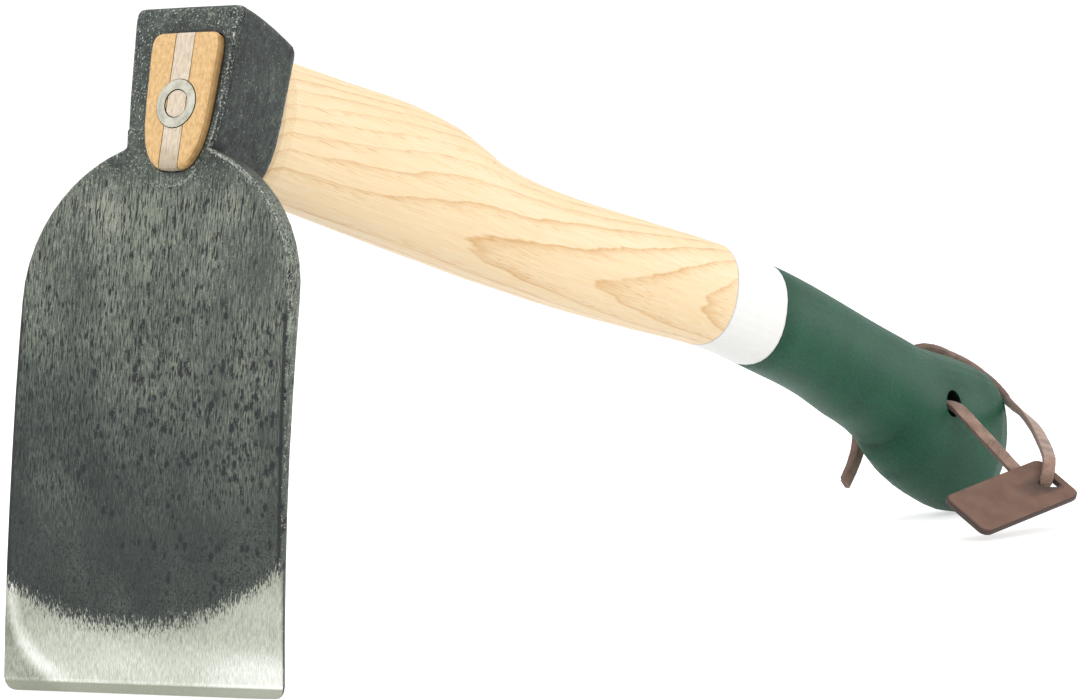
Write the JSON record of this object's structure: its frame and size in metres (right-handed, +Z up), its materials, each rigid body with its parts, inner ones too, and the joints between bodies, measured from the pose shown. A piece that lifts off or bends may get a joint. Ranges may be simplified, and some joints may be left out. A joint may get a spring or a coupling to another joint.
{
  "type": "draw hoe",
  "caption": "Short draw hoe: round-shouldered forged blade with an eye block, wedged on a curved ash handle with a dip-coated grip, a flared knob, a leather thong and a leather tag.",
  "frame": {"origin": "on the floor under the middle of the tool's box, measured without the thong, its knot and the tag", "axes": "+Z up with the tool standing on its blade edge and knob, +Y from the head to the knob, +X to the right seen from the head"},
  "size_m": [0.1241, 0.4431, 0.1906],
  "materials": {
    "forged_steel": "forged scale, brushed, with a ground edge",
    "ash_wood": "oiled",
    "wedge_wood": "sawn",
    "ring_steel": "zinc plated",
    "white_coat": "satin dip coat",
    "green_coat": "satin dip coat",
    "thong_leather": "suede",
    "tag_leather": "smooth"
  },
  "bodies": {
    "hoe": {"hoe_head": "forged_steel", "ash_handle": "ash_wood", "wood_wedge": "wedge_wood", "ring_wedge": "ring_steel", "white_band": "white_coat", "green_grip_coat": "green_coat"},
    "lanyard": {"leather_thong": "thong_leather", "thong_tail_1": "thong_leather", "thong_tail_2": "thong_leather", "thong_knot": "thong_leather"},
    "tag": {"leather_tag": "tag_leather"}
  },
  "joints": [
    {"name": "lanyard_swing", "type": "hinge", "parent": "hoe", "child": "lanyard", "pos_m": [0.0038, 0.1771, 0.03861], "axis": [1, 0, 0], "range_deg": [0, 40]},
    {"name": "tag_swing", "type": "hinge", "parent": "lanyard", "child": "tag", "pos_m": [0.0631, 0.1613, 0.01421], "axis": [0.4958, -0.2982, 0.8156], "range_deg": [-60, 0]}
  ]
}
